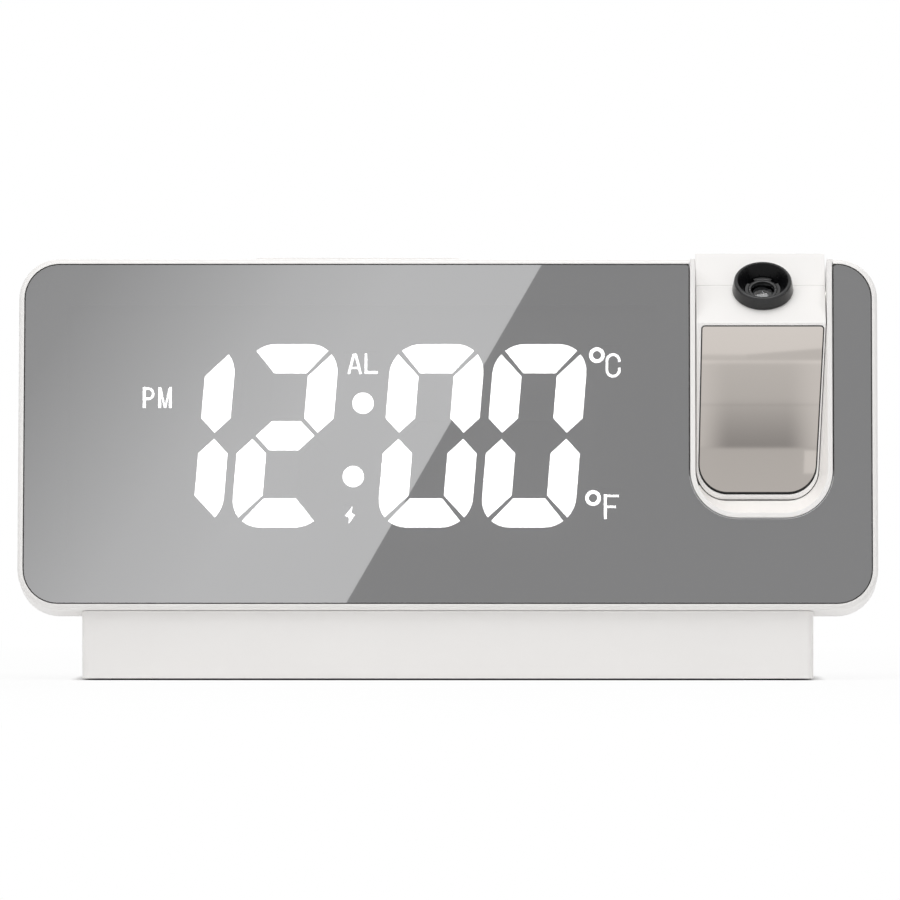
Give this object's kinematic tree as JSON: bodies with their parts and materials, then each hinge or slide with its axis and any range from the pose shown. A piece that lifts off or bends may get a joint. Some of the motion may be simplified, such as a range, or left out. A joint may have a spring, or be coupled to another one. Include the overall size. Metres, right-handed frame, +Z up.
{
  "type": "projection alarm clock",
  "caption": "Mirror-faced table clock with LED digits, leaning on a wedge foot, and a projector arm that swings up out of a U-shaped well.",
  "frame": {"origin": "centre of the base on the plane of the foot pads' undersides, midway between the left and right ends and between the front and back limits", "axes": "+X to the right seen from the front, along the clock's width; +Y to the back; +Z up"},
  "size_m": [0.19, 0.045, 0.0946],
  "materials": {
    "white_case": "satin moulded",
    "mirror_face": "two-way mirror coating on a clear sheet",
    "arm_mirror_face": "polished",
    "ring_black": "satin moulded",
    "inner_black": "matt moulded",
    "window_white": "translucent diffusing",
    "circuit_board": "solder resist",
    "chip_black": "moulded epoxy",
    "lamp_resin": "clear resin over phosphor",
    "plated_steel": "nickel plated",
    "spring_steel": "plated",
    "bush_acetal": "moulded acetal",
    "lens_glass": "polished, coated",
    "pad_rubber": "matt moulded",
    "lead_sheath": "matt flexible sheath",
    "ribbon_grey": "flexible ribbon",
    "cell_sleeve": "printed-free sleeve",
    "speaker_cone": "pressed paper cone in a plastic frame",
    "thermistor_bead": "dipped bead"
  },
  "bodies": {
    "clock": {"front_bezel": "white_case", "rear_case": "white_case", "mirror_panel": "mirror_face", "arm_well": "white_case", "display_reflector": "inner_black", "segment_windows": "window_white", "display_board": "circuit_board", "segment_lamps": "lamp_resin", "main_board": "circuit_board", "board_chips": "chip_black", "charge_outlet": "plated_steel", "power_inlet": "plated_steel", "thermistor": "thermistor_bead", "button_board": "circuit_board", "tact_switches": "inner_black", "snooze_board": "circuit_board", "snooze_switch": "inner_black", "speaker": "speaker_cone", "battery_cells": "cell_sleeve", "battery_springs": "spring_steel", "battery_plates": "plated_steel", "case_screws": "plated_steel", "board_screws": "plated_steel", "foot_pads": "pad_rubber", "left_hinge_pin": "plated_steel", "right_hinge_pin": "plated_steel", "housing_lead": "lead_sheath", "display_lead": "ribbon_grey"},
    "projector_arm": {"arm_front_shell": "white_case", "arm_rear_shell": "white_case", "arm_mirror": "arm_mirror_face", "hinge_bushes": "bush_acetal", "friction_washer": "spring_steel", "projector_tube": "inner_black", "lamp_board": "circuit_board", "projector_lamp": "lamp_resin", "condenser_lens": "lens_glass", "image_glass": "lens_glass", "arm_screws": "plated_steel", "arm_lead": "lead_sheath"},
    "focus_ring": {"focus_ring": "ring_black"},
    "lens_cell": {"lens_cell": "ring_black", "projection_lens": "lens_glass", "lens_retainer": "ring_black"},
    "snooze_bar": {"snooze_bar": "white_case"},
    "mode_button": {"mode_button": "white_case"},
    "set_button": {"set_button": "white_case"},
    "up_button": {"up_button": "white_case"},
    "down_button": {"down_button": "white_case"},
    "light_button": {"light_button": "white_case"},
    "battery_door": {"battery_door": "white_case"}
  },
  "joints": [
    {"name": "arm_swing", "type": "hinge", "parent": "clock", "child": "projector_arm", "pos_m": [0.0693, -0.00296, 0.08394], "axis": [-1, 0, 0], "range_deg": [0, 180]},
    {"name": "focus_turn", "type": "hinge", "parent": "projector_arm", "child": "focus_ring", "pos_m": [0.0698, -0.00296, 0.08394], "axis": [0, -0.6756, 0.7373], "range_deg": [0, 120]},
    {"name": "lens_slide", "type": "slide", "parent": "projector_arm", "child": "lens_cell", "axis": [0, -0.6756, 0.7373], "range_m": [0, 0.001]},
    {"name": "snooze_press", "type": "slide", "parent": "clock", "child": "snooze_bar", "axis": [0, -0.1478, -0.989], "range_m": [0, 0.0007], "stiffness_N_per_m": 400, "springref_m": -0.0005},
    {"name": "mode_press", "type": "slide", "parent": "clock", "child": "mode_button", "axis": [0, -0.9713, -0.2381], "range_m": [0, 0.0006], "stiffness_N_per_m": 400, "springref_m": -0.0005},
    {"name": "set_press", "type": "slide", "parent": "clock", "child": "set_button", "axis": [0, -0.9713, -0.2381], "range_m": [0, 0.0006], "stiffness_N_per_m": 400, "springref_m": -0.0005},
    {"name": "up_press", "type": "slide", "parent": "clock", "child": "up_button", "axis": [0, -0.9713, -0.2381], "range_m": [0, 0.0006], "stiffness_N_per_m": 400, "springref_m": -0.0005},
    {"name": "down_press", "type": "slide", "parent": "clock", "child": "down_button", "axis": [0, -0.9713, -0.2381], "range_m": [0, 0.0006], "stiffness_N_per_m": 400, "springref_m": -0.0005},
    {"name": "light_press", "type": "slide", "parent": "clock", "child": "light_button", "axis": [0, -0.9713, -0.2381], "range_m": [0, 0.0006], "stiffness_N_per_m": 400, "springref_m": -0.0005},
    {"name": "battery_door_swing", "type": "hinge", "parent": "clock", "child": "battery_door", "pos_m": [-0.041, 0.02027, 0.02212], "axis": [-1, 0, 0], "range_deg": [0, 80]}
  ],
  "couplings": [
    {"joint": "focus_turn", "follows": "lens_slide", "rad_per_m": 2094.4}
  ]
}
